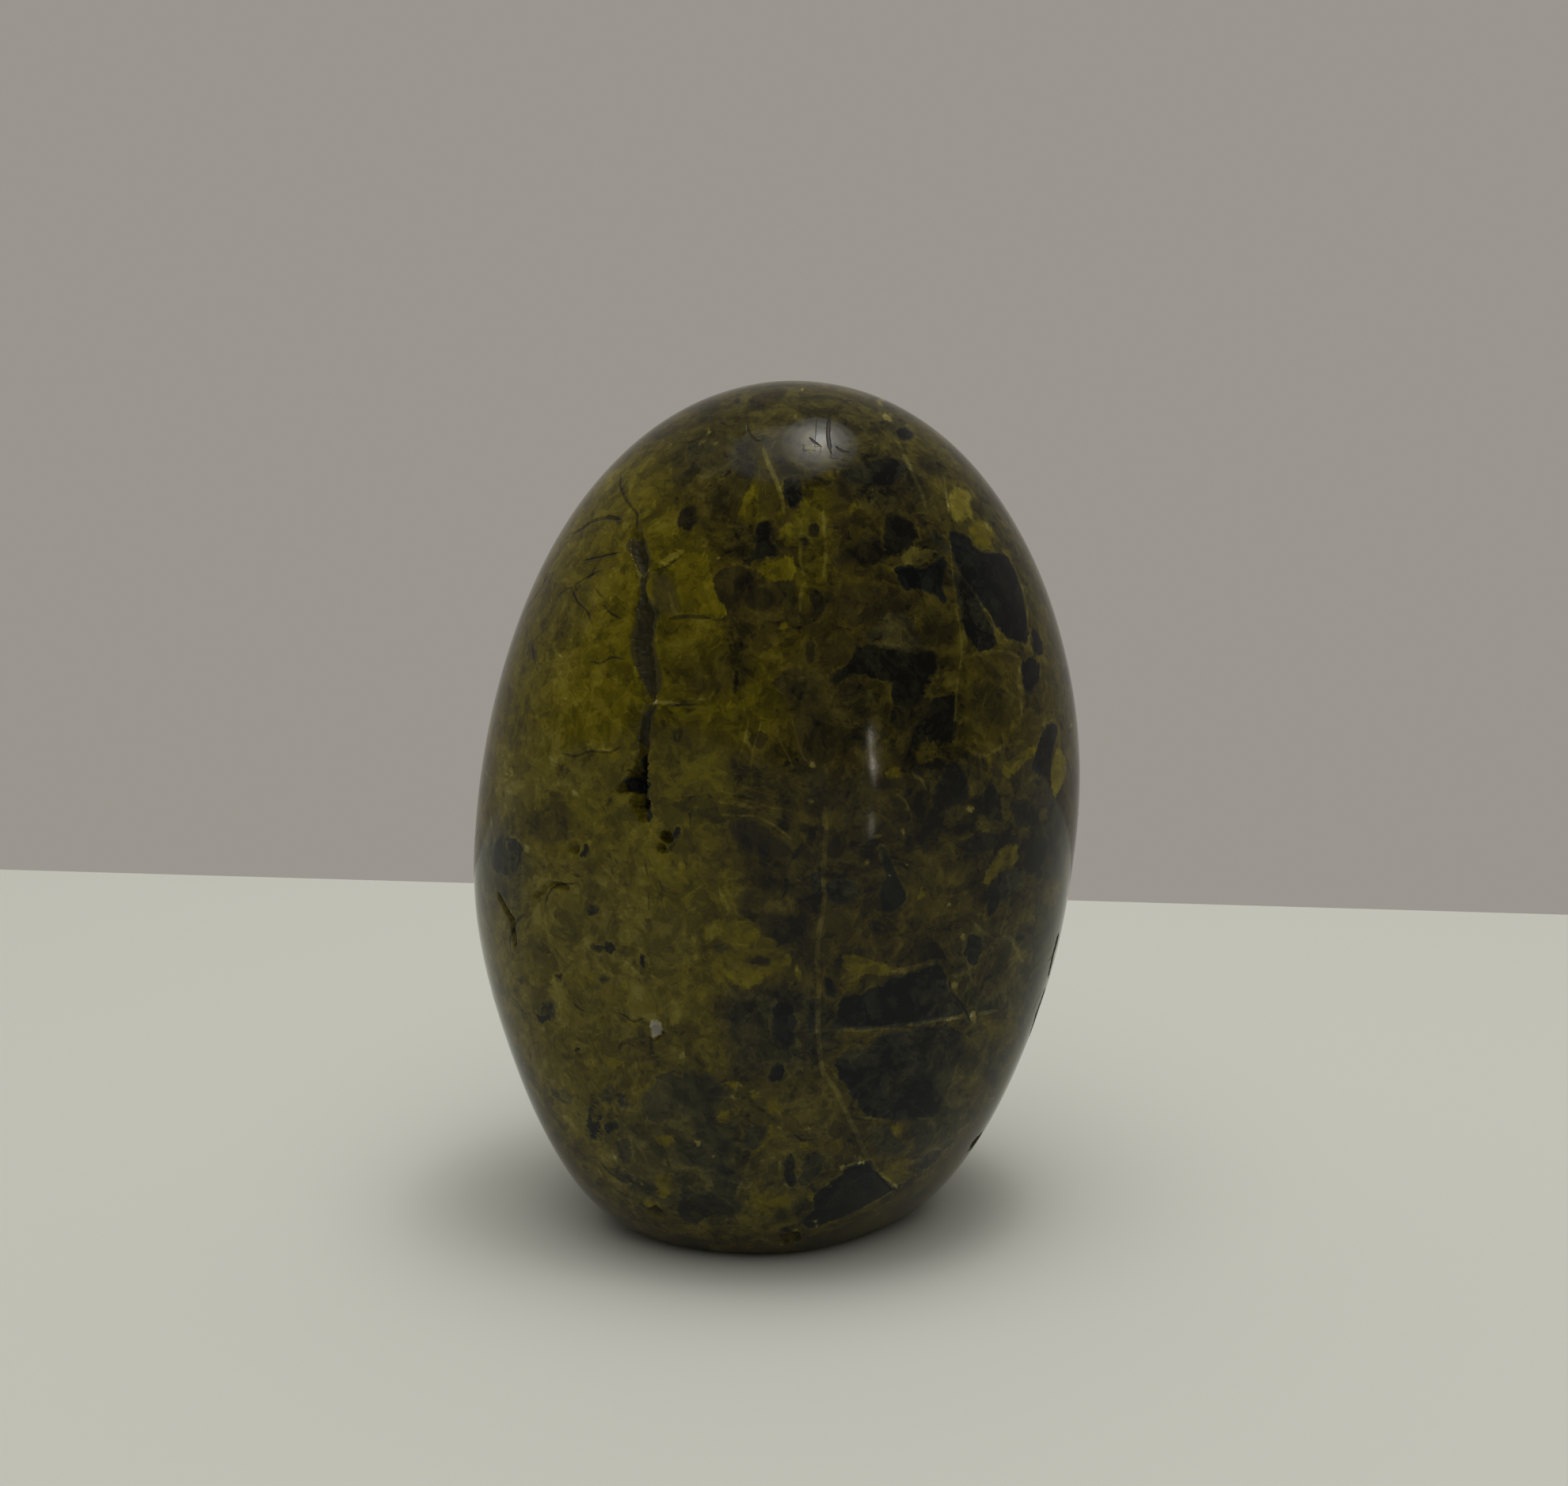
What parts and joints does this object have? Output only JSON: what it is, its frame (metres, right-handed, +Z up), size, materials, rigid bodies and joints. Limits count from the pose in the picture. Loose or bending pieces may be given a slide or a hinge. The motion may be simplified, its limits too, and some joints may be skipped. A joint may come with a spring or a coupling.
{
  "type": "olive jasper freeform",
  "caption": "Polished egg-shaped freeform of mottled olive-green jasper that stands upright on a small ground flat.",
  "frame": {"origin": "on the plane of the ground flat the stone stands on, under the middle of its box", "axes": "+Z up along the stone's height, +X to the right seen from the front, -Y towards the viewer"},
  "size_m": [0.0788, 0.0614, 0.1096],
  "materials": {
    "stone": "polished"
  },
  "bodies": {
    "root": {"stone": "stone"}
  },
  "joints": []
}
